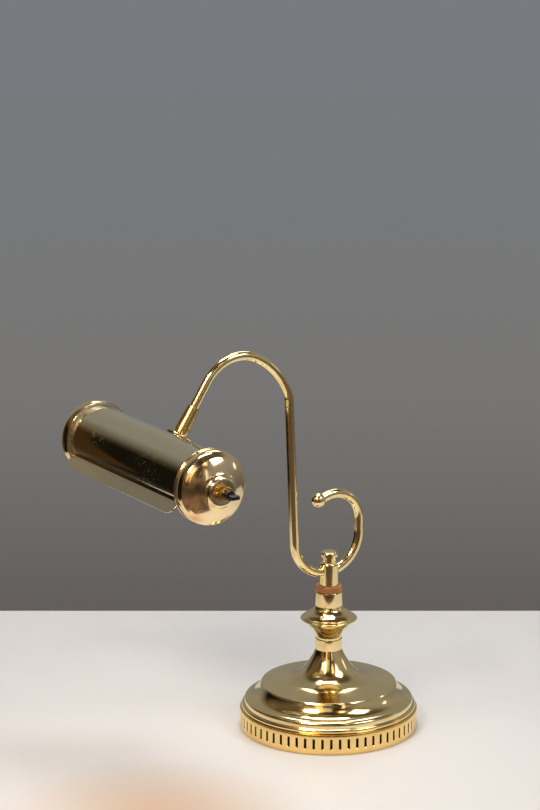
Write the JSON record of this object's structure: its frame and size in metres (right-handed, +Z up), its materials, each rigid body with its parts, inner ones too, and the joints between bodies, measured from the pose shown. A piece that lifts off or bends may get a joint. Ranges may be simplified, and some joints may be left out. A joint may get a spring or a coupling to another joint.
{
  "type": "desk lamp",
  "caption": "Polished brass desk lamp: pierced round base, turned column, swinging scroll-ended arm and a swivelling cylindrical hood with domed ends and a turn switch.",
  "frame": {"origin": "middle of the underside of the base, on the column's axis", "axes": "+Z up the column, -Y the way the arm reaches at rest, +X along the hood towards its switch end"},
  "size_m": [0.2894, 0.3395, 0.4064],
  "materials": {
    "polished_brass": "polished and lacquered",
    "satin_brass": "satin, slightly darkened",
    "fibre": "smooth orange-brown",
    "cast_iron": "as cast, hidden",
    "felt": "dark felt",
    "zinc_steel": "plated",
    "black_plastic": "moulded, black",
    "white_ceramic": "glazed white",
    "lamp_aluminium": "rolled thread",
    "lamp_glass": "clear",
    "lead_jacket": "matt"
  },
  "bodies": {
    "base": {"felt_pad": "felt", "base_weight": "cast_iron", "gallery_ring": "polished_brass", "cord_bushing": "black_plastic", "base_shell": "polished_brass", "tie_rod": "zinc_steel", "rod_washer": "zinc_steel", "rod_nut": "zinc_steel", "neck_collar": "polished_brass", "knop_lower": "polished_brass", "knop_upper": "polished_brass", "column_head": "polished_brass", "friction_washer": "fibre"},
    "arm": {"swivel_post": "polished_brass", "retaining_nut": "zinc_steel", "post_cap": "polished_brass", "arm_tube": "polished_brass", "arm_lead": "lead_jacket", "ball_end": "polished_brass", "ferrule": "satin_brass"},
    "shade": {"swivel_nipple": "satin_brass", "swivel_nut": "polished_brass", "swivel_plate": "polished_brass", "shade_saddle": "polished_brass", "saddle_screws": "zinc_steel", "shade_sheet": "polished_brass", "switch_plate": "zinc_steel", "plain_plate": "zinc_steel", "switch_cap": "polished_brass", "plain_cap": "polished_brass", "cap_screw": "polished_brass", "cap_nut": "zinc_steel", "lamp_holder": "white_ceramic", "holder_nipple": "zinc_steel", "switch_body": "black_plastic", "switch_bushing": "satin_brass", "switch_nut": "satin_brass", "lamp_cap": "lamp_aluminium", "lamp_glass": "lamp_glass"},
    "key": {"switch_key": "black_plastic"}
  },
  "joints": [
    {"name": "arm_swing", "type": "hinge", "parent": "base", "child": "arm", "pos_m": [0, 0, 0.1497], "axis": [0, 0, 1], "range_deg": [-165, 165]},
    {"name": "shade_swivel", "type": "hinge", "parent": "arm", "child": "shade", "pos_m": [0, -0.17294, 0.33571], "axis": [0, 0.5446, 0.8387], "range_deg": [-165, 165]},
    {"name": "key_turn", "type": "hinge", "parent": "shade", "child": "key", "pos_m": [0.132, -0.20687, 0.31065], "axis": [1, 0, 0], "continuous": true}
  ]
}
